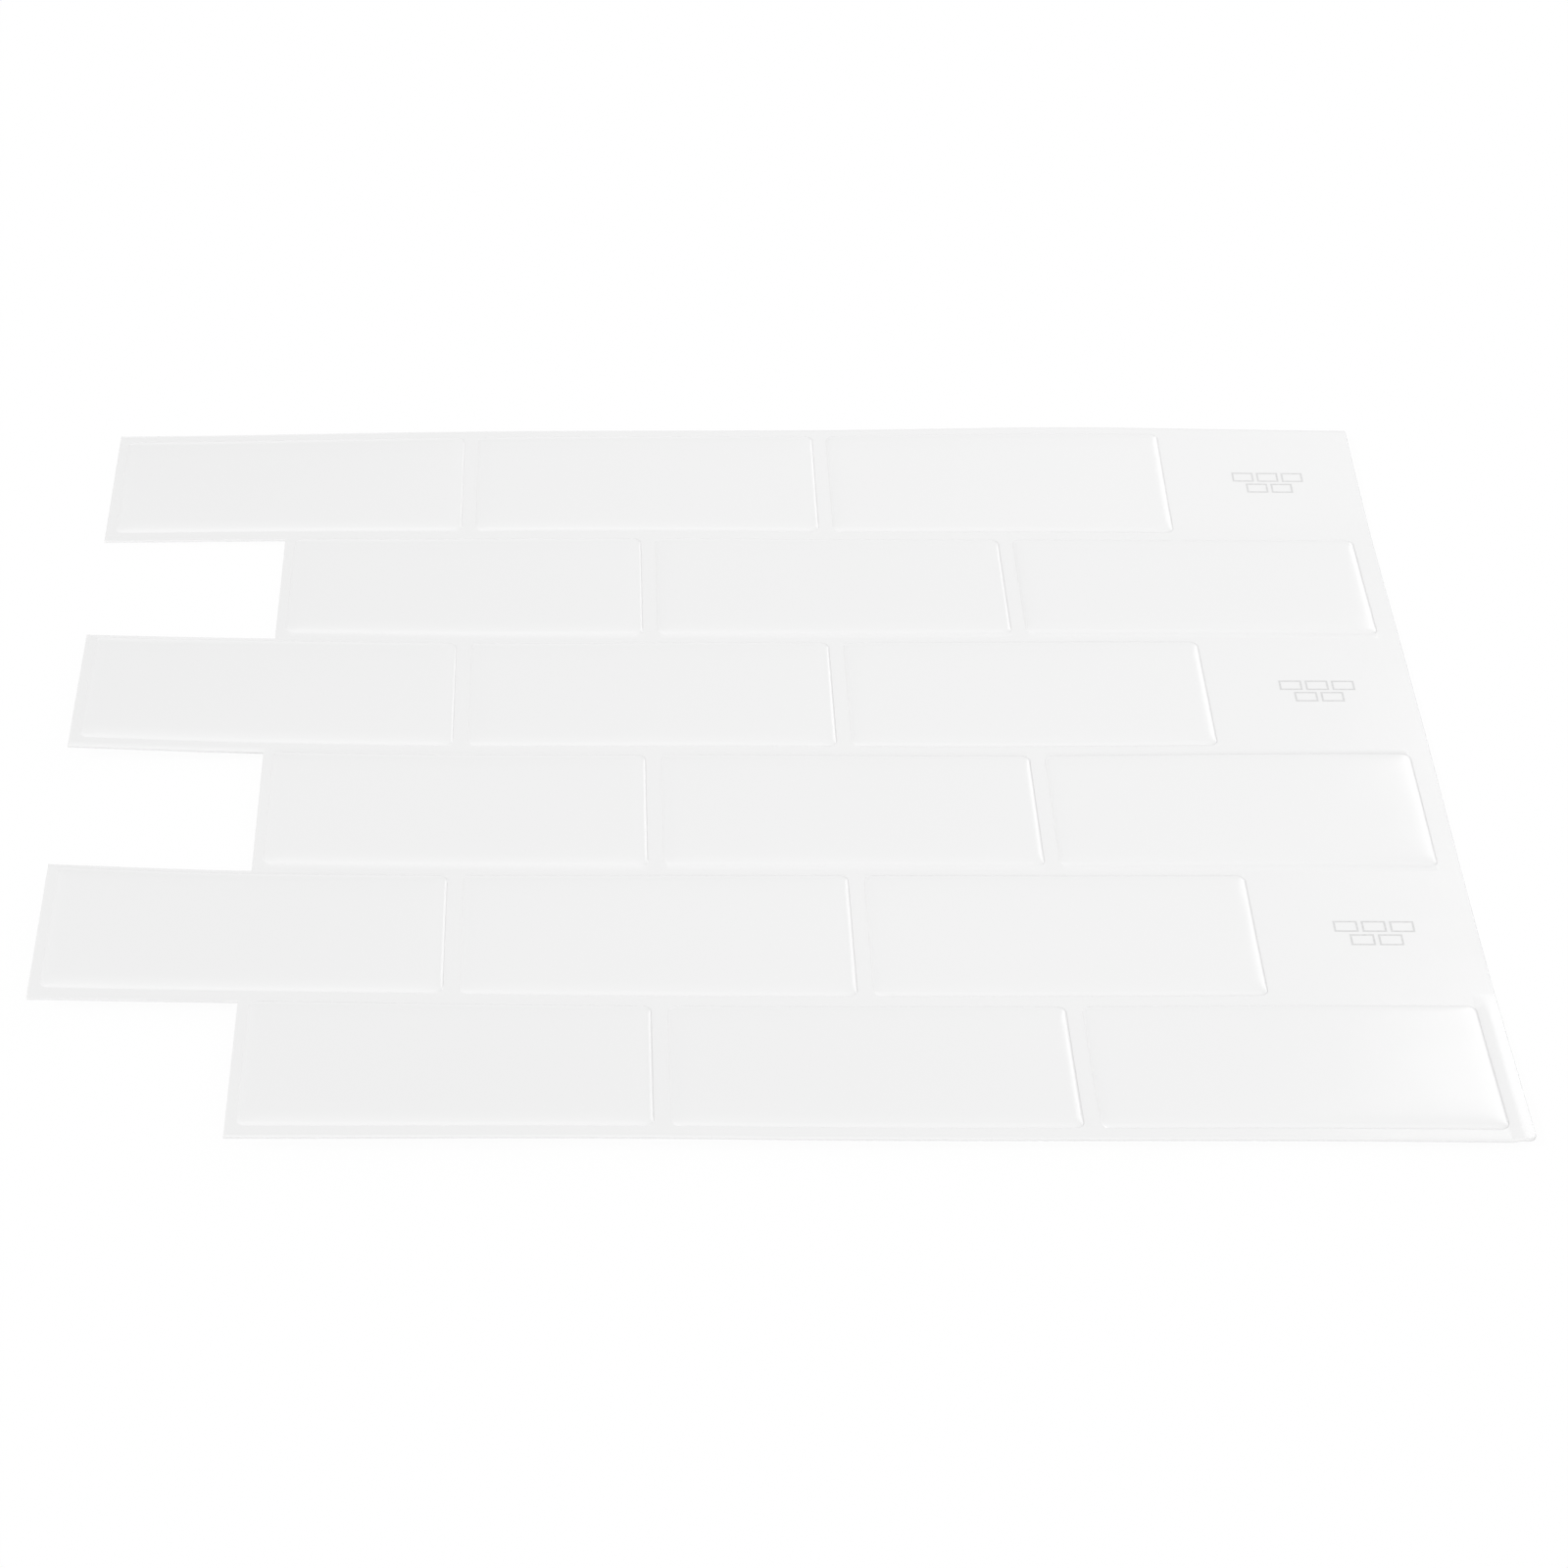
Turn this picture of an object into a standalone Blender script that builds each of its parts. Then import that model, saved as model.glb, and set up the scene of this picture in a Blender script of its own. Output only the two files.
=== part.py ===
# Peel and stick backsplash tile: one embossed vinyl sheet with six staggered rows of three subway tiles.
# Metres, +Z up. X runs along the rows, Y from the near edge to the far edge, and the adhesive back is at Z = 0.

from math import cos, pi, sin

import bmesh
import bpy
from mathutils import Vector

# The tile pattern
ROWS = 6
TILES_PER_ROW = 3
TILE_LENGTH = 0.0975  # from foot to foot, along a row
TILE_WIDTH = 0.0467
GROUT_WIDTH = 0.0041  # flat recessed line between the feet of two tiles
BOND_SHARE = 0.5  # part of a tile's pitch by which every other row is set over: a running bond

# The sheet
SHEET_THICKNESS = 0.0007  # at the grout lines and the overlap tabs
FAR_MARGIN = 0.0034  # from the far row's feet to the far edge
NEAR_MARGIN = 0.0041  # from the near row's feet to the near edge: a whole grout line
LEFT_MARGIN = 0.0027  # from the first tile's foot to the left edge, in every row
STEP_MARGIN = 0.0013  # from a tongue's far feet to the edge of the step before it
LAP_WIDTH = 0.0059  # from the last tile's foot to the right edge, which slides under the next sheet
DIE_CORNER_RADIUS = 0.0005  # the sharp die-cut corners of the outline
ROUND_CORNER_RADIUS = 0.0024  # the one rounded corner, near right

# The relief of one tile
TILE_RELIEF = 0.00075  # crown above the grout line
WALL_HEIGHT = 0.0003  # steepest part, at the foot
WALL_DRAFT = 0.0003  # how far that part leans in
SHOULDER_RUN = 0.0042  # soft roll from there to the flat crown
FOOT_CORNER_RADIUS = 0.0022
CROWN_CORNER_RADIUS = 0.0030

# How finely the curves are drawn
CORNER_STEPS = 4
SHOULDER_STEPS = 5
OUTLINE_STEPS = 4

# The sheet's finish
VINYL_COLOUR = (0.86, 0.86, 0.855, 1.0)
VINYL_ROUGHNESS = 0.22

PITCH_ALONG = TILE_LENGTH + GROUT_WIDTH
PITCH_ACROSS = TILE_WIDTH + GROUT_WIDTH
BOND_SHIFT = BOND_SHARE * PITCH_ALONG

SHEET_LENGTH = LEFT_MARGIN + BOND_SHIFT + TILES_PER_ROW * PITCH_ALONG - GROUT_WIDTH + LAP_WIDTH
SHEET_WIDTH = FAR_MARGIN + ROWS * PITCH_ACROSS - GROUT_WIDTH + NEAR_MARGIN


def clear_scene():
    for obj in list(bpy.data.objects):
        bpy.data.objects.remove(obj, do_unlink=True)


def gloss_vinyl():
    material = bpy.data.materials.new("gloss_white_vinyl")
    material.use_nodes = True
    shader = material.node_tree.nodes["Principled BSDF"]
    shader.inputs["Base Color"].default_value = VINYL_COLOUR
    shader.inputs["Roughness"].default_value = VINYL_ROUGHNESS
    shader.inputs["Metallic"].default_value = 0.0
    return material


def add_object(name, bm):
    """The mesh as a named object in the scene."""
    bmesh.ops.recalc_face_normals(bm, faces=bm.faces)
    mesh = bpy.data.meshes.new(name)
    bm.to_mesh(mesh)
    bm.free()
    obj = bpy.data.objects.new(name, mesh)
    bpy.context.scene.collection.objects.link(obj)
    return obj


def row_start(row):
    """The left edge of a row. Row 0 is the far one, and every other row is set over by half a tile."""
    return -SHEET_LENGTH / 2 + (BOND_SHIFT if row % 2 else 0.0)


def far_feet(row):
    """The line of a row's far feet."""
    return SHEET_WIDTH / 2 - FAR_MARGIN - row * PITCH_ACROSS


def cut_line(row):
    """Where the outline is cut on the far side of a row, or along the near edge for the row after the last."""
    if row == 0:
        return SHEET_WIDTH / 2
    if row == ROWS:
        return -SHEET_WIDTH / 2
    # A tongue keeps the whole grout line on its near side, and only a narrow margin on its far side.
    return far_feet(row) + (0.0 if row % 2 else STEP_MARGIN)


def round_corners(bm, edges, radius):
    bmesh.ops.bevel(
        bm,
        geom=edges,
        offset=radius,
        offset_type="OFFSET",
        segments=OUTLINE_STEPS,
        profile=0.5,
        affect="EDGES",
    )


def sheet_blank():
    """The flat sheet: a rectangle whose left edge steps in at every other row."""
    right = SHEET_LENGTH / 2
    outline = []
    for row in range(ROWS):
        outline.append((row_start(row), cut_line(row)))
        outline.append((row_start(row), cut_line(row + 1)))
    outline.append((right, cut_line(ROWS)))
    outline.append((right, cut_line(0)))

    bm = bmesh.new()
    base = bm.faces.new([bm.verts.new((x, y, 0.0)) for x, y in outline])
    raised = bmesh.ops.extrude_face_region(bm, geom=[base])["geom"]
    top = [part for part in raised if isinstance(part, bmesh.types.BMVert)]
    bmesh.ops.translate(bm, verts=top, vec=(0.0, 0.0, SHEET_THICKNESS))
    bmesh.ops.recalc_face_normals(bm, faces=bm.faces)

    upright = [e for e in bm.edges if abs(e.verts[0].co.z - e.verts[1].co.z) > SHEET_THICKNESS / 2]
    near_right = Vector((right, cut_line(ROWS)))
    rounded = min(upright, key=lambda e: (e.verts[0].co.xy - near_right).length)
    upright.remove(rounded)
    round_corners(bm, [rounded], ROUND_CORNER_RADIUS)
    round_corners(bm, upright, DIE_CORNER_RADIUS)
    return bm


def tile_section():
    """The steps of a tile's edge from its sunk foot to its crown: inset, height and corner radius of each ring."""
    shoulder_rise = TILE_RELIEF - WALL_HEIGHT
    crown_inset = WALL_DRAFT + SHOULDER_RUN
    sunk = SHEET_THICKNESS / 2
    # The wall's slope goes on down into the sheet, so that it meets the grout line at no inset.
    steps = [(-WALL_DRAFT * sunk / WALL_HEIGHT, SHEET_THICKNESS - sunk)]
    for step in range(SHOULDER_STEPS + 1):
        angle = pi / 2 * step / SHOULDER_STEPS
        inset = WALL_DRAFT + SHOULDER_RUN * (1.0 - cos(angle))
        steps.append((inset, SHEET_THICKNESS + WALL_HEIGHT + shoulder_rise * sin(angle)))
    section = []
    for inset, height in steps:
        radius = FOOT_CORNER_RADIUS + (CROWN_CORNER_RADIUS - FOOT_CORNER_RADIUS) * inset / crown_inset
        section.append((inset, height, radius))
    return section


def rounded_ring(bm, centre, inset, height, radius):
    """A closed loop of edges round a tile, with round corners."""
    half_length = TILE_LENGTH / 2 - inset - radius
    half_width = TILE_WIDTH / 2 - inset - radius
    verts = []
    for quarter, (side, end) in enumerate(((1, 1), (-1, 1), (-1, -1), (1, -1))):
        for step in range(CORNER_STEPS + 1):
            angle = pi / 2 * (quarter + step / CORNER_STEPS)
            x = centre[0] + side * half_length + radius * cos(angle)
            y = centre[1] + end * half_width + radius * sin(angle)
            verts.append(bm.verts.new((x, y, height)))
    return [bm.edges.new((verts[i - 1], verts[i])) for i in range(len(verts))]


def add_tile(bm, centre):
    """One raised tile, lofted through its section and closed at the crown and at its sunk foot."""
    rings = [rounded_ring(bm, centre, *ring) for ring in tile_section()]
    for lower, upper in zip(rings, rings[1:]):
        bmesh.ops.bridge_loops(bm, edges=lower + upper)
    bmesh.ops.contextual_create(bm, geom=rings[0])
    bmesh.ops.contextual_create(bm, geom=rings[-1])


def tile_centre(row, place):
    x = row_start(row) + LEFT_MARGIN + TILE_LENGTH / 2 + place * PITCH_ALONG
    y = far_feet(row) - TILE_WIDTH / 2
    return x, y


def raised_tiles():
    """All the tiles, as closed shapes whose feet are sunk half way into the sheet."""
    bm = bmesh.new()
    for row in range(ROWS):
        for place in range(TILES_PER_ROW):
            add_tile(bm, tile_centre(row, place))
    tiles = add_object("raised_tiles", bm)
    tiles.hide_render = True
    tiles.display_type = "WIRE"
    return tiles


def embossed_sheet(tiles):
    """The sheet and its tiles are one moulded piece, with flat tabs at the right of the rows not set over."""
    sheet = add_object("embossed_tile_sheet", sheet_blank())
    sheet.data.materials.append(gloss_vinyl())
    emboss = sheet.modifiers.new("emboss", "BOOLEAN")
    emboss.operation = "UNION"
    emboss.solver = "EXACT"
    emboss.object = tiles
    return sheet


def main():
    clear_scene()
    embossed_sheet(raised_tiles())


main()
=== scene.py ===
# The looks of an embossed white vinyl sheet: its fine relief, its gentle curl and its finish, and the studio.
# Lengths in the dictionaries are in millimetres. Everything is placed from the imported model's own box.
from math import cos, pi, radians, sin

import bmesh
import bpy
from mathutils import Matrix, Vector, noise


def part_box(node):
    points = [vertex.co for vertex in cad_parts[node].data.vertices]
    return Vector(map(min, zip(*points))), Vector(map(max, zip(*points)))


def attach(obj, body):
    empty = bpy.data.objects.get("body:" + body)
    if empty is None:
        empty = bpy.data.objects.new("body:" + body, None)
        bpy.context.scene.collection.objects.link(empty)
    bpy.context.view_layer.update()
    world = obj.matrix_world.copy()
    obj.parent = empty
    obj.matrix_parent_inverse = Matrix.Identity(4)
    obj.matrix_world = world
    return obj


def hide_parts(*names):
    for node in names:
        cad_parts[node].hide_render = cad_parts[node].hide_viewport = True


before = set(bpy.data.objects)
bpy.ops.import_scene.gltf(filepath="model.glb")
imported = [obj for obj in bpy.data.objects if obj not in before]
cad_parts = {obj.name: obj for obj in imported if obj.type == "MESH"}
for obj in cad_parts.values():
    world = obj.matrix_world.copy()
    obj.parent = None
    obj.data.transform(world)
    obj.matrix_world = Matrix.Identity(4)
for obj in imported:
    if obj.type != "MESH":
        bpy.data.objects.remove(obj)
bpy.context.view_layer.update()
sheetLow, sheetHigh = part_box("embossed_tile_sheet")
mm = 0.001


def linear(hexColour):
    # sRGB hex to the linear colour that the shaders take
    parts = [int(hexColour[i:i + 2], 16) / 255 for i in (1, 3, 5)]
    return [c / 12.92 if c <= 0.04045 else ((c + 0.055) / 1.055) ** 2.4 for c in parts] + [1.0]


def addNode(tree, kind, settings=(), links=()):
    # settings: attribute or input name to value; links: input name to (node, output name)
    node = tree.nodes.new(kind)
    for name, value in dict(settings).items():
        if hasattr(node, name):
            setattr(node, name, value)
        else:
            node.inputs[name].default_value = value
    for name, (source, output) in dict(links).items():
        tree.links.new(source.outputs[output], node.inputs[name])
    return node


def newMaterial(name):
    material = bpy.data.materials.new(name)
    material.use_nodes = True
    return material, material.node_tree, material.node_tree.nodes["Principled BSDF"]


def addPiece(name, bm, materials):
    mesh = bpy.data.meshes.new(name)
    bm.to_mesh(mesh)
    bm.free()
    for material in materials:
        mesh.materials.append(material)
    piece = bpy.data.objects.new(name, mesh)
    bpy.context.scene.collection.objects.link(piece)
    return piece


vinylLook = {
    "colour": "#E9E9E9",
    "roughness": 0.17,
    "roughnessSpread": 0.04,
    "ior": 1.53,
    "waveSize": 26.0,  # slow waves left by moulding
    "waveHeight": 0.1,
    "waveDetail": 2.0,
    "peelSize": 1.4,  # fine orange peel
    "peelHeight": 0.0025,
    "peelDetail": 1.0,
}


def glossMouldedVinyl():
    # White PVC film, heat moulded: glossy, slightly wavy, with a fine orange peel that breaks up reflections.
    look = vinylLook
    material, tree, shader = newMaterial("glossWhiteMouldedVinyl")
    shader.inputs["Base Color"].default_value = linear(look["colour"])
    shader.inputs["IOR"].default_value = look["ior"]
    place = addNode(tree, "ShaderNodeTexCoord")
    slow = addNode(tree, "ShaderNodeTexNoise", {
        "Scale": 1 / (look["waveSize"] * mm), "Detail": look["waveDetail"],
    }, {"Vector": (place, "Object")})
    fine = addNode(tree, "ShaderNodeTexNoise", {
        "Scale": 1 / (look["peelSize"] * mm), "Detail": look["peelDetail"],
    }, {"Vector": (place, "Object")})
    roughness = addNode(tree, "ShaderNodeMapRange", {
        "To Min": look["roughness"] - look["roughnessSpread"],
        "To Max": look["roughness"] + look["roughnessSpread"],
    }, {"Value": (slow, "Fac")})
    waves = addNode(tree, "ShaderNodeBump", {"Distance": look["waveHeight"] * mm}, {"Height": (slow, "Fac")})
    peel = addNode(tree, "ShaderNodeBump", {"Distance": look["peelHeight"] * mm},
                   {"Height": (fine, "Fac"), "Normal": (waves, "Normal")})
    tree.links.new(roughness.outputs["Result"], shader.inputs["Roughness"])
    tree.links.new(peel.outputs["Normal"], shader.inputs["Normal"])
    return material


backLook = {
    "colour": "#E4E4E0",
    "roughness": 0.42,
    "ior": 1.47,
    "stippleSize": 2.2,
    "stippleHeight": 0.02,
    "stippleStrength": 0.6,
}


def clearGlueBack():
    # Clear acrylic glue rolled on the film's back: satin, with a fine stipple from the roller.
    look = backLook
    material, tree, shader = newMaterial("clearAcrylicGlueBack")
    shader.inputs["Base Color"].default_value = linear(look["colour"])
    shader.inputs["Roughness"].default_value = look["roughness"]
    shader.inputs["IOR"].default_value = look["ior"]
    place = addNode(tree, "ShaderNodeTexCoord")
    stipple = addNode(tree, "ShaderNodeTexVoronoi", {"Scale": 1 / (look["stippleSize"] * mm)},
                      {"Vector": (place, "Object")})
    bump = addNode(tree, "ShaderNodeBump", {
        "Distance": look["stippleHeight"] * mm, "Strength": look["stippleStrength"],
    }, {"Height": (stipple, "Distance")})
    tree.links.new(bump.outputs["Normal"], shader.inputs["Normal"])
    return material


sheetForm = {
    "rows": 6,
    "tilesPerRow": 3,
    "pitchAlong": 101.6,  # tile and grout line together, along a row
    "pitchAcross": 50.8,
    "groutWidth": 4.1,
    "thickness": 0.7,  # at the grout lines and the tabs
    "farMargin": 3.4,  # from the far row's feet to the far edge
    "leftMargin": 2.7,
    "stepMargin": 1.3,  # from a tongue's far feet to its far edge
    "roundCorner": 2.4,  # near right, the only rounded corner of the outline
    "cornerShares": (0.3, 0.6, 1.0),  # where it gets mesh lines
    "footCorner": 2.2,
    "crownCorner": 3.2,
    "crownSpacing": 6.0,  # widest gap between mesh lines, on the flat crowns
    "closestLines": 0.06,
    "rimRun": 0.25,  # the die-cut edge is pressed down a little, and more at the right
    "rimDrop": 0.12,
    "rightRimDrop": 0.42,
    "crownDome": 0.05,  # how far the crowns go on rising, and over what distance from the foot
    "domeRun": 20.0,
    "sharpAngle": 50.0,  # degrees between faces, past which an edge is shaded sharp
}

# One tile's edge from the grout line to the crown: how far in from the foot, and how high above the grout
# line at the sheet's left end, where the moulding is soft, and at its right end, where it is crisp.
tileSection = [
    (-0.2, 0.0, 0.0),
    (-0.06, 0.0, 0.0),
    (0.0, 0.035, 0.18),
    (0.12, 0.095, 0.28),
    (0.28, 0.175, 0.39),
    (0.5, 0.265, 0.49),
    (0.8, 0.345, 0.565),
    (1.2, 0.425, 0.615),
    (1.8, 0.52, 0.66),
    (2.6, 0.61, 0.70),
    (3.6, 0.675, 0.73),
    (4.8, 0.705, 0.748),
]

# How high the sheet's back stands off the floor. Each row of lifts runs from left to right, at the shares of
# the sheet's length, and the rows run from far to near, at the shares of its width.
curl = {
    "alongShares": [0.0, 0.14, 0.33, 0.55, 0.78, 1.0],
    "acrossShares": [0.0, 0.089, 0.175, 0.337, 0.506, 0.665, 0.834, 1.0],
    "lifts": [
        [0.0, 0.7, 1.7, 2.5, 3.7, 2.3],
        [0.0, 0.5, 1.0, 1.2, 1.5, 0.8],
        [0.0, 0.5, 0.6, 0.5, 0.0, 0.0],
        [3.2, 1.8, 0.9, 0.9, 0.8, 0.5],
        [4.6, 2.5, 1.2, 0.7, 0.7, 0.7],
        [4.9, 2.6, 1.3, 0.9, 0.5, 0.1],
        [5.5, 3.7, 1.9, 0.9, 0.5, 0.2],
        [6.1, 6.0, 5.6, 4.0, 3.1, 2.0],
    ],
    "waveSize": 85.0,  # slow unevenness of a sheet that has been rolled or stacked
    "waveHeight": 0.5,
    "waveOffset": 0.5,  # share of the height that keeps the waves above the floor
    "waveStart": Vector((149.1, 84.6, 1.2)),
    # The near row's right edge bends up past its last tile: distances from the tile's foot to the sheet's
    # edge, and how far the sheet has risen there.
    "edgeSteps": [0.0, 2.0, 5.9],
    "edgeRises": [0.0, 0.42, 0.26],
    "edgeShares": (0.82, 0.85),  # where that starts and is full, by share of the width
}


def rowStart(row):
    # left edge of a row; every other row is set over by half a pitch
    return sheetLow.x + (sheetForm["pitchAlong"] * mm / 2 if row % 2 else 0.0)


def farFeet(row):
    return sheetHigh.y - (sheetForm["farMargin"] + row * sheetForm["pitchAcross"]) * mm


def cutLine(row):
    # where the outline is cut on the far side of a row, or along the near edge after the last row
    if row == 0:
        return sheetHigh.y
    if row == sheetForm["rows"]:
        return sheetLow.y
    return farFeet(row) + (0.0 if row % 2 else sheetForm["stepMargin"] * mm)


def meshLines(low, high, sharpLines, softLines, spacing):
    # sharp lines stay where they are, soft ones give way to a near neighbour, and wide gaps are filled evenly
    nearest = sheetForm["closestLines"] * mm
    lines = sorted(set(sharpLines) | {low, high})
    for place in softLines:
        if low < place < high and min(abs(place - other) for other in lines) > nearest:
            lines.append(place)
    lines.sort()
    filled = [lines[0]]
    for place in lines[1:]:
        steps = int((place - filled[-1]) / spacing) + 1
        start = filled[-1]
        filled += [start + (place - start) * (i + 1) / steps for i in range(steps)]
    return filled


def edgeLines():
    # distances from the right and near edges at which the rim and the rounded corner need mesh lines
    form = sheetForm
    return [form["rimRun"]] + [form["roundCorner"] * share for share in form["cornerShares"]]


def linesAlong():
    form = sheetForm
    groutHalf = form["groutWidth"] / 2
    insets = [step[0] for step in tileSection] + [-groutHalf]
    tileLength = form["pitchAlong"] - form["groutWidth"]
    sharp = []
    soft = []
    for row in (0, 1):
        sharp.append(rowStart(row))
        soft.append(rowStart(row) + form["rimRun"] * mm)
        for place in range(form["tilesPerRow"]):
            start = rowStart(row) + (form["leftMargin"] + place * form["pitchAlong"]) * mm
            end = start + tileLength * mm
            sharp += [start, end]
            soft += [start + inset * mm for inset in insets] + [end - inset * mm for inset in insets]
    soft += [sheetHigh.x - step * mm for step in edgeLines()]
    return meshLines(sheetLow.x, sheetHigh.x, sharp, soft, form["crownSpacing"] * mm)


def linesAcross():
    form = sheetForm
    insets = [step[0] for step in tileSection] + [-form["groutWidth"] / 2]
    tileWidth = form["pitchAcross"] - form["groutWidth"]
    sharp = []
    soft = []
    for row in range(form["rows"]):
        far = farFeet(row)
        near = far - tileWidth * mm
        sharp += [far, near, cutLine(row)]
        soft += [far - inset * mm for inset in insets] + [near + inset * mm for inset in insets]
        soft += [cutLine(row) - form["rimRun"] * mm, cutLine(row) + form["rimRun"] * mm]
    soft += [sheetLow.y + step * mm for step in edgeLines()]
    return meshLines(sheetLow.y, sheetHigh.y, sharp, soft, form["crownSpacing"] * mm)


def tileInsets(x, y):
    # insets from the nearest upright and level foot lines of the tile cell at a place, with the way inward
    form = sheetForm
    groutHalf = form["groutWidth"] / 2 * mm
    row = int((farFeet(0) + groutHalf - y) // (form["pitchAcross"] * mm))
    row = min(max(row, 0), form["rows"] - 1)
    start = rowStart(row) + form["leftMargin"] * mm
    place = int((x - start + groutHalf) // (form["pitchAlong"] * mm))
    far = farFeet(row)
    near = far - (form["pitchAcross"] - form["groutWidth"]) * mm
    across, down = (far - y, -1) if far - y < y - near else (y - near, 1)
    if not 0 <= place < form["tilesPerRow"]:
        return -1.0, across, 1, down
    left = start + place * form["pitchAlong"] * mm
    right = left + (form["pitchAlong"] - form["groutWidth"]) * mm
    along, side = (x - left, 1) if x - left < right - x else (right - x, -1)
    return along, across, side, down


def roundedCorner(along, across, radius):
    # a point on a square corner's ring moves on to the arc that rounds that ring
    inset = min(along, across)
    run = max(along, across) - inset
    if run >= radius:
        return along, across
    angle = pi / 4 * (1 + run / radius)
    near = inset + radius * (1 - sin(angle))
    wide = inset + radius * (1 - cos(angle))
    return (near, wide) if along < across else (wide, near)


def ringRadius(inset):
    # the rings' corner radius: none at the middle of the grout line, growing to the crown
    form = sheetForm
    groutHalf = form["groutWidth"] / 2 * mm
    if inset < 0:
        return max(0.0, form["footCorner"] * mm * (1 + inset / groutHalf))
    share = min(1.0, inset / (tileSection[-1][0] * mm))
    return (form["footCorner"] + (form["crownCorner"] - form["footCorner"]) * share) * mm


def sectionHeight(inset, x):
    # height above the grout line for an inset from the foot and a place along the sheet, all in metres
    crisp = (x - sheetLow.x) / (sheetHigh.x - sheetLow.x)
    steps = [(step, (soft + (sharp - soft) * crisp) * mm) for step, soft, sharp in tileSection]
    inset /= mm
    if inset <= steps[0][0]:
        return steps[0][1]
    for (start, low), (end, high) in zip(steps, steps[1:]):
        if inset <= end:
            return low + (high - low) * (inset - start) / (end - start)
    return steps[-1][1]


def smoothValue(shares, values, share):
    # a smooth curve through the values, whose slope at each is that between its neighbours
    share = min(max(share, shares[0]), shares[-1])
    last = len(shares) - 1
    slopes = []
    for i in range(last + 1):
        before, after = max(i - 1, 0), min(i + 1, last)
        slopes.append((values[after] - values[before]) / (shares[after] - shares[before]))
    i = next(k for k in range(last) if share <= shares[k + 1])
    width = shares[i + 1] - shares[i]
    t = (share - shares[i]) / width
    return (
        values[i] * (1 + 2 * t) * (1 - t) ** 2
        + values[i + 1] * t * t * (3 - 2 * t)
        + slopes[i] * width * t * (1 - t) ** 2
        - slopes[i + 1] * width * t * t * (1 - t)
    )


def sheetLift(x, y):
    # how high the sheet's back stands off the floor: its curl, slow waves and the bent part of its right edge
    along = (x - sheetLow.x) / (sheetHigh.x - sheetLow.x)
    across = (sheetHigh.y - y) / (sheetHigh.y - sheetLow.y)
    rows = [smoothValue(curl["alongShares"], row, along) for row in curl["lifts"]]
    place = Vector((x, y, 0.0)) / (curl["waveSize"] * mm) + curl["waveStart"]
    wave = (noise.noise(place) + curl["waveOffset"]) * curl["waveHeight"]
    start, full = curl["edgeShares"]
    past = curl["edgeSteps"][-1] - (sheetHigh.x - x) / mm
    edge = smoothValue(curl["edgeSteps"], curl["edgeRises"], past)
    edge *= min(1.0, max(0.0, (across - start) / (full - start)))
    return max(0.0, smoothValue(curl["acrossShares"], rows, across) + wave + edge) * mm


def embossedSheet(vinyl, back):
    form = sheetForm
    xLines = linesAlong()
    yLines = linesAcross()
    bm = bmesh.new()
    bmesh.ops.create_grid(bm, x_segments=len(xLines) - 1, y_segments=len(yLines) - 1, size=0.5)
    for vert in bm.verts:
        column = round((vert.co.x + 0.5) * (len(xLines) - 1))
        row = round((vert.co.y + 0.5) * (len(yLines) - 1))
        vert.co = (xLines[column], yLines[row], 0.0)

    # The steps on the left: what lies before a row that is set over is cut away.
    cutAway = []
    for face in bm.faces:
        middle = face.calc_center_median()
        for row in range(1, form["rows"], 2):
            if middle.x < rowStart(row) and cutLine(row + 1) < middle.y < cutLine(row):
                cutAway.append(face)
    bmesh.ops.delete(bm, geom=cutAway, context="FACES")

    # Each point keeps its inset from the nearest tile foot and, on the sheet's edge, how far it is pressed
    # down. Then the corners are rounded in plan.
    insetLayer = bm.verts.layers.float.new("inset")
    rimLayer = bm.verts.layers.float.new("rim")
    for vert in bm.verts:
        along, across, side, down = tileInsets(vert.co.x, vert.co.y)
        inset = min(along, across)
        vert[insetLayer] = inset
        if vert.is_boundary:
            atRight = sheetHigh.x - vert.co.x < form["rimRun"] * mm / 2
            vert[rimLayer] = form["rightRimDrop" if atRight else "rimDrop"] * mm
        roundAlong, roundAcross = roundedCorner(along, across, ringRadius(inset))
        vert.co.x += side * (roundAlong - along)
        vert.co.y += down * (roundAcross - across)
        edgeAlong = sheetHigh.x - vert.co.x
        edgeAcross = vert.co.y - sheetLow.y
        radius = form["roundCorner"] * mm - min(edgeAlong, edgeAcross)
        if radius > 0 and max(edgeAlong, edgeAcross) < form["roundCorner"] * mm:
            roundAlong, roundAcross = roundedCorner(edgeAlong, edgeAcross, radius)
            vert.co.x -= roundAlong - edgeAlong
            vert.co.y += roundAcross - edgeAcross

    # The flat blank becomes a solid, and its upper side takes the relief.
    raised = bmesh.ops.extrude_face_region(bm, geom=list(bm.faces))["geom"]
    top = [part for part in raised if isinstance(part, bmesh.types.BMVert)]
    for vert in top:
        inset = vert[insetLayer]
        dome = form["crownDome"] * mm * min(1.0, max(0.0, inset / (form["domeRun"] * mm)))
        vert.co.z = form["thickness"] * mm + sectionHeight(inset, vert.co.x) + dome
        vert.co.z -= vert[rimLayer]
    for vert in bm.verts:
        vert.co.z += sheetLift(vert.co.x, vert.co.y)
    bmesh.ops.recalc_face_normals(bm, faces=bm.faces)
    for face in bm.faces:
        face.smooth = True
        face.material_index = 1 if face.normal.z < -0.5 else 0
    print("embossed sheet:", len(bm.verts), "points,", len(bm.faces), "faces")
    sheet = addPiece("embossed_sheet_finish", bm, [vinyl, back])
    sheet.data.set_sharp_from_angle(angle=radians(form["sharpAngle"]))
    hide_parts("embossed_tile_sheet")
    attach(sheet, "root")


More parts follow.
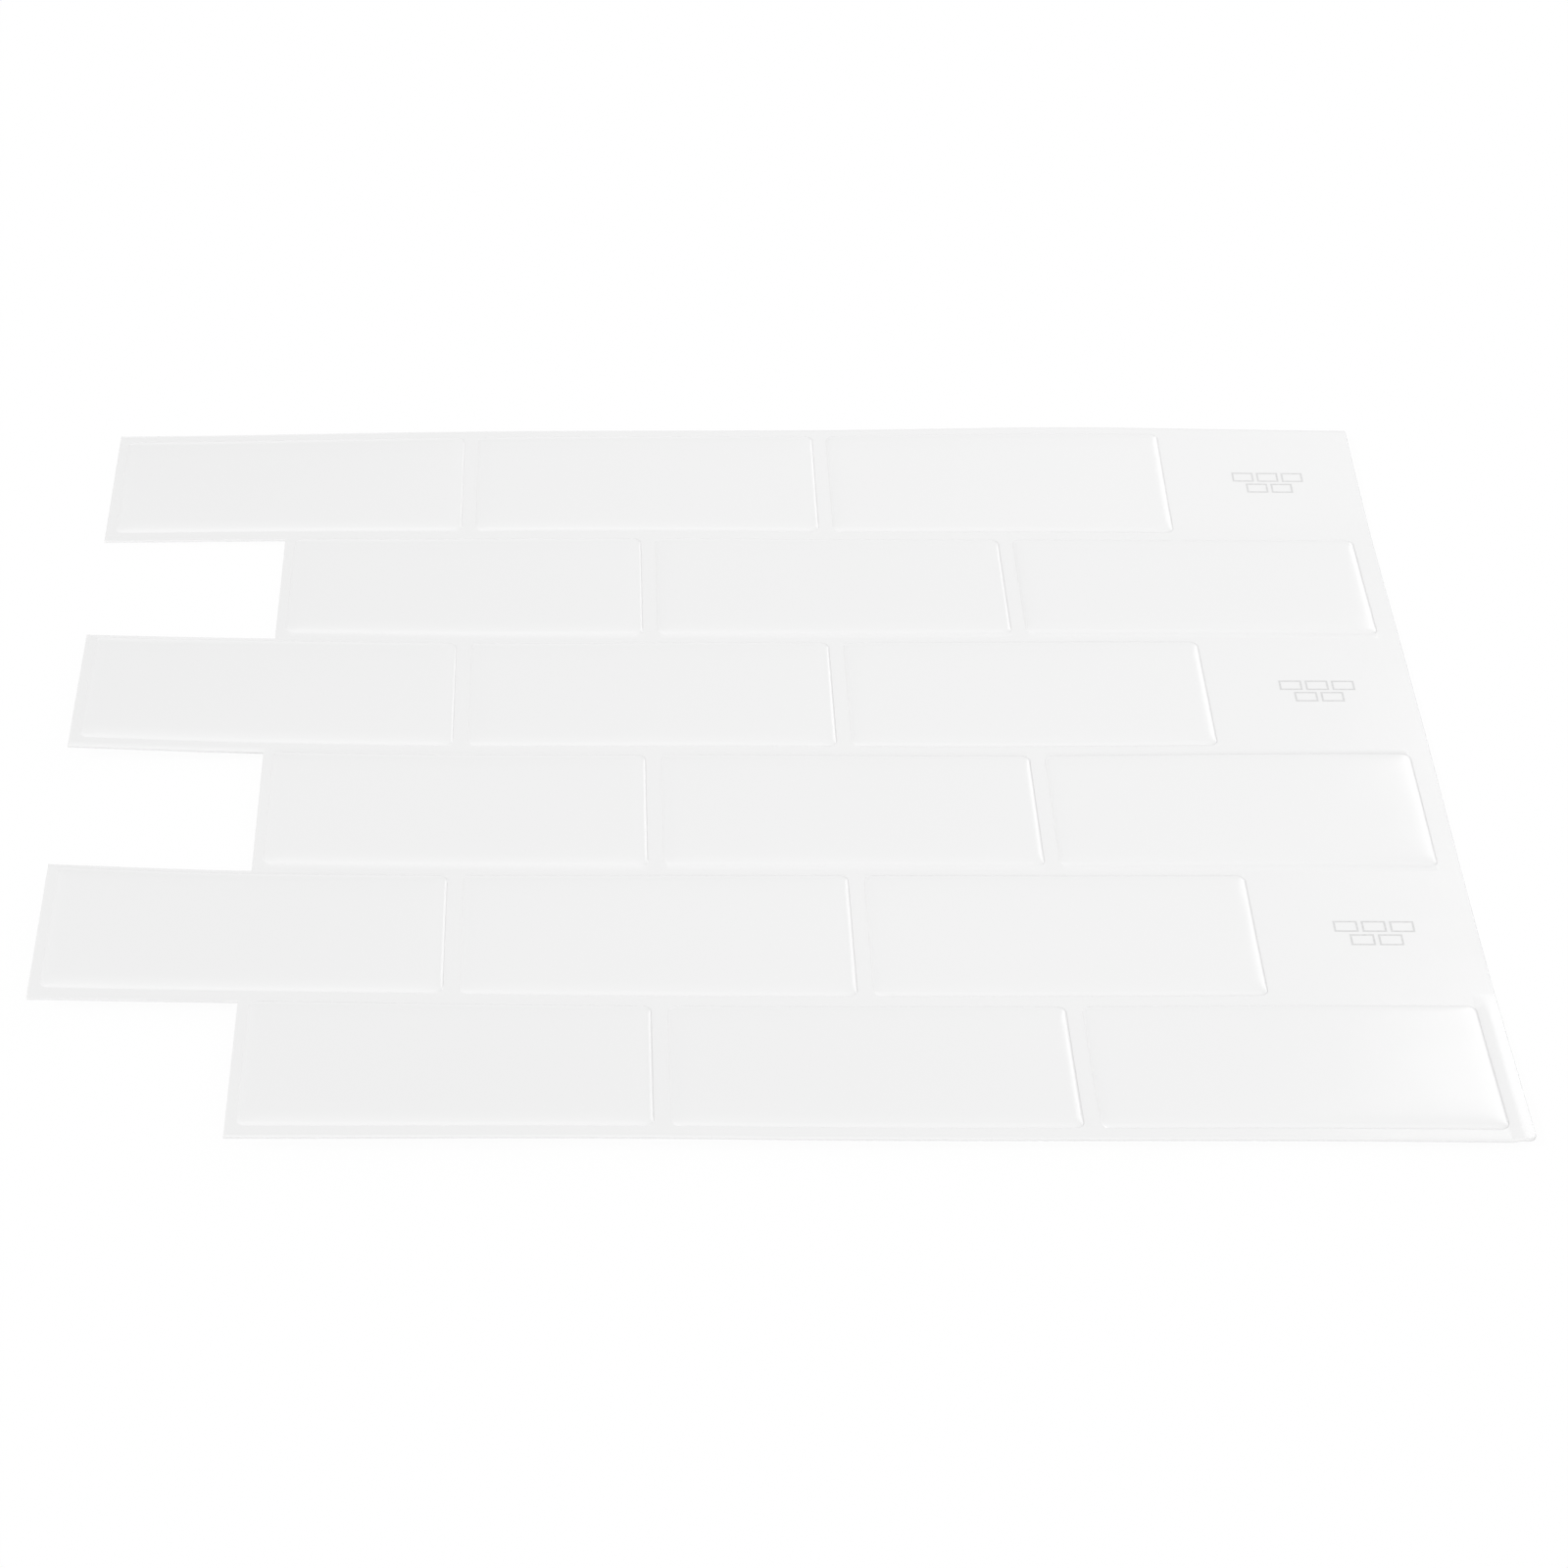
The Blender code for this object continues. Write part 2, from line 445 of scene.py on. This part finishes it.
tabMarks = {
    "colour": "#D0D0D0",
    "roughness": 0.4,
    "coverageSize": 0.9,  # patchiness of the print
    "coverageSpread": 0.12,
    "coverageDetail": 2.0,
    "rows": (0, 2, 4),  # the rows that end in a tab
    "fromRight": 26.35,  # middle of the mark from the sheet's right edge
    "fromFarFoot": 22.5,
    "bricks": (3, 2),  # outlined bricks in the mark's far and near course
    "brickSize": (6.2, 4.2),
    "jointWidth": 1.0,
    "lineWidth": 0.5,
    "inkHeight": 0.03,  # above the vinyl, and how far the ring goes down into it
    "inkSunk": 0.05,
}


def paleGreyPrintInk():
    # Thin pale grey ink printed on the tabs: flatter than the vinyl, and a little patchy.
    look = tabMarks
    material, tree, shader = newMaterial("paleGreyPrintInk")
    shader.inputs["Roughness"].default_value = look["roughness"]
    place = addNode(tree, "ShaderNodeTexCoord")
    patches = addNode(tree, "ShaderNodeTexNoise", {
        "Scale": 1 / (look["coverageSize"] * mm), "Detail": look["coverageDetail"],
    }, {"Vector": (place, "Object")})
    coverage = addNode(tree, "ShaderNodeHueSaturation", {"Color": linear(look["colour"])})
    value = addNode(tree, "ShaderNodeMapRange", {
        "To Min": 1 - look["coverageSpread"], "To Max": 1 + look["coverageSpread"],
    }, {"Value": (patches, "Fac")})
    tree.links.new(value.outputs["Result"], coverage.inputs["Value"])
    tree.links.new(coverage.outputs["Color"], shader.inputs["Base Color"])
    return material


def addBrickOutline(bm, middleX, middleY):
    # a square ring from a grid of three by three faces without its middle one, raised to the ink's height;
    # the grid's outer points start a half from its middle, and its inner ones a sixth
    look = tabMarks
    grid = bmesh.ops.create_grid(bm, x_segments=3, y_segments=3, size=0.5)["verts"]
    halves = [[side / 2 * mm, (side / 2 - look["lineWidth"]) * mm] for side in look["brickSize"]]
    centre = min({face for vert in grid for face in vert.link_faces},
                 key=lambda face: face.calc_center_median().length)
    for vert in grid:
        shifts = []
        for place, (outer, inner) in zip((vert.co.x, vert.co.y), halves):
            shifts.append((outer if abs(place) > 1 / 3 else inner) * (1 if place > 0 else -1))
        x, y = middleX + shifts[0], middleY + shifts[1]
        vert.co = (x, y, sheetLift(x, y) + (sheetForm["thickness"] - look["inkSunk"]) * mm)
    faces = list({face for vert in grid for face in vert.link_faces} - {centre})
    bmesh.ops.delete(bm, geom=[centre], context="FACES_ONLY")
    raised = bmesh.ops.extrude_face_region(bm, geom=faces)["geom"]
    top = [part for part in raised if isinstance(part, bmesh.types.BMVert)]
    bmesh.ops.translate(bm, verts=top, vec=(0.0, 0.0, (look["inkSunk"] + look["inkHeight"]) * mm))


def printedTabMarks(ink):
    # A plain sign for laying tiles, two courses of outlined bricks, printed on each tab.
    look = tabMarks
    stepAlong, stepAcross = (side + look["jointWidth"] for side in look["brickSize"])
    bm = bmesh.new()
    for row in look["rows"]:
        for course, count in enumerate(look["bricks"]):
            y = farFeet(row) - (look["fromFarFoot"] + (course - 0.5) * stepAcross) * mm
            for brick in range(count):
                x = sheetHigh.x - (look["fromRight"] - (brick - (count - 1) / 2) * stepAlong) * mm
                addBrickOutline(bm, x, y)
    bmesh.ops.recalc_face_normals(bm, faces=bm.faces)
    print("printed tab marks:", len(bm.faces), "faces")
    marks = addPiece("printed_tab_marks", bm, [ink])
    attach(marks, "root")


studio = {
    "floorSize": 24000.0,
    "floorDrop": 0.02,  # keeps the floor clear of the sheet's back
    "floorColour": "#F2F2F2",
    "floorRoughness": 0.9,
    "floorGlow": 0.97,  # share of the floor's white that no shadow takes
    "worldColour": "#FFFFFF",
    "worldLevel": 0.85,
    # Soft patches that the gloss picks up: their direction, their own level, and where they are full and
    # gone, in degrees from their middle.
    "patches": {
        "darkFlagFarLeft": {"azimuth": -32.0, "elevation": 32.0, "level": 0.2, "reach": (10.0, 38.0)},
        "brightWallFar": {"azimuth": -4.0, "elevation": 3.0, "level": 1.0, "reach": (6.0, 24.0)},
    },
    "lamps": {
        "keySoftbox": {"place": (-5488, -2918, 5035), "size": (1700, 1700), "watts": 270.0},
        "farRightPanel": {"place": (1325, 1421, 1033), "size": (1500, 850), "watts": 7.7},
    },
}


def paleFloor():
    # A plain pale floor. Camera and gloss see it nearly white, and it keeps part of the sheet's soft shadow.
    look = studio
    bm = bmesh.new()
    bmesh.ops.create_grid(bm, x_segments=1, y_segments=1, size=look["floorSize"] * mm / 2)
    bmesh.ops.translate(bm, verts=bm.verts, vec=(0.0, 0.0, -look["floorDrop"] * mm))
    material, tree, shader = newMaterial("paleStudioFloor")
    shader.inputs["Base Color"].default_value = linear(look["floorColour"])
    shader.inputs["Roughness"].default_value = look["floorRoughness"]
    glow = addNode(tree, "ShaderNodeEmission", {"Color": (1, 1, 1, 1), "Strength": 1.0})
    path = addNode(tree, "ShaderNodeLightPath")
    seen = addNode(tree, "ShaderNodeMath", {"operation": "MAXIMUM"})
    tree.links.new(path.outputs["Is Camera Ray"], seen.inputs[0])
    tree.links.new(path.outputs["Is Glossy Ray"], seen.inputs[1])
    share = addNode(tree, "ShaderNodeMath", {"operation": "MULTIPLY"})
    tree.links.new(seen.outputs[0], share.inputs[0])
    share.inputs[1].default_value = look["floorGlow"]
    mixed = addNode(tree, "ShaderNodeMixShader")
    tree.links.new(share.outputs[0], mixed.inputs[0])
    tree.links.new(shader.outputs[0], mixed.inputs[1])
    tree.links.new(glow.outputs[0], mixed.inputs[2])
    tree.links.new(mixed.outputs[0], tree.nodes["Material Output"].inputs["Surface"])
    addPiece("studio_floor", bm, [material])
    print("pale floor laid")


def studioLight():
    look = studio
    world = bpy.data.worlds.new("softStudio")
    bpy.context.scene.world = world
    world.use_nodes = True
    tree = world.node_tree
    background = tree.nodes["Background"]
    background.inputs["Color"].default_value = linear(look["worldColour"])
    direction = addNode(tree, "ShaderNodeTexCoord")
    level = None
    for patch in look["patches"].values():
        azimuth, elevation = radians(patch["azimuth"]), radians(patch["elevation"])
        middle = (sin(azimuth) * cos(elevation), cos(azimuth) * cos(elevation), sin(elevation))
        near = addNode(tree, "ShaderNodeVectorMath", {"operation": "DOT_PRODUCT"})
        near.inputs[1].default_value = middle
        tree.links.new(direction.outputs["Generated"], near.inputs[0])
        full, gone = patch["reach"]
        share = addNode(tree, "ShaderNodeMapRange", {
            "interpolation_type": "SMOOTHSTEP",
            "From Min": cos(radians(gone)),
            "From Max": cos(radians(full)),
        }, {"Value": (near, "Value")})
        mixed = addNode(tree, "ShaderNodeMix", {"data_type": "FLOAT"})
        mixed.inputs[2].default_value = look["worldLevel"]
        mixed.inputs[3].default_value = patch["level"]
        tree.links.new(share.outputs["Result"], mixed.inputs[0])
        if level:
            tree.links.new(level, mixed.inputs[2])
        level = mixed.outputs[0]
    tree.links.new(level, background.inputs["Strength"])
    for name, lamp in look["lamps"].items():
        light = bpy.data.lights.new(name, "AREA")
        light.shape = "RECTANGLE"
        light.size, light.size_y = (side * mm for side in lamp["size"])
        light.energy = lamp["watts"]
        holder = bpy.data.objects.new(name, light)
        holder.location = Vector(lamp["place"]) * mm
        holder.rotation_euler = (-holder.location).to_track_quat("-Z", "Y").to_euler()
        bpy.context.scene.collection.objects.link(holder)
    print("studio lit:", len(look["lamps"]), "lamps and the world")


view = {
    "place": (-44.98, -861.2, 657.1),
    "azimuth": 3.512,  # to the right of the rows' square-on view
    "elevation": 37.67,
    "roll": 2.0,
    "lens": 94.063,
    "sensor": 36.0,
}


def photoCamera():
    data = bpy.data.cameras.new("camera")
    data.lens = view["lens"]
    data.sensor_width = view["sensor"]
    camera = bpy.data.objects.new("camera", data)
    turn = Matrix.Rotation(radians(-view["azimuth"]), 4, "Z")
    tilt = Matrix.Rotation(radians(90 - view["elevation"]), 4, "X")
    roll = Matrix.Rotation(radians(view["roll"]), 4, "Z")
    camera.matrix_world = Matrix.Translation(Vector(view["place"]) * mm) @ turn @ tilt @ roll
    bpy.context.scene.collection.objects.link(camera)
    bpy.context.scene.camera = camera
    print("camera placed")


photoCamera()
embossedSheet(glossMouldedVinyl(), clearGlueBack())
printedTabMarks(paleGreyPrintInk())
paleFloor()
studioLight()
bpy.context.scene.view_settings.view_transform = "Standard"
print("scene ready")
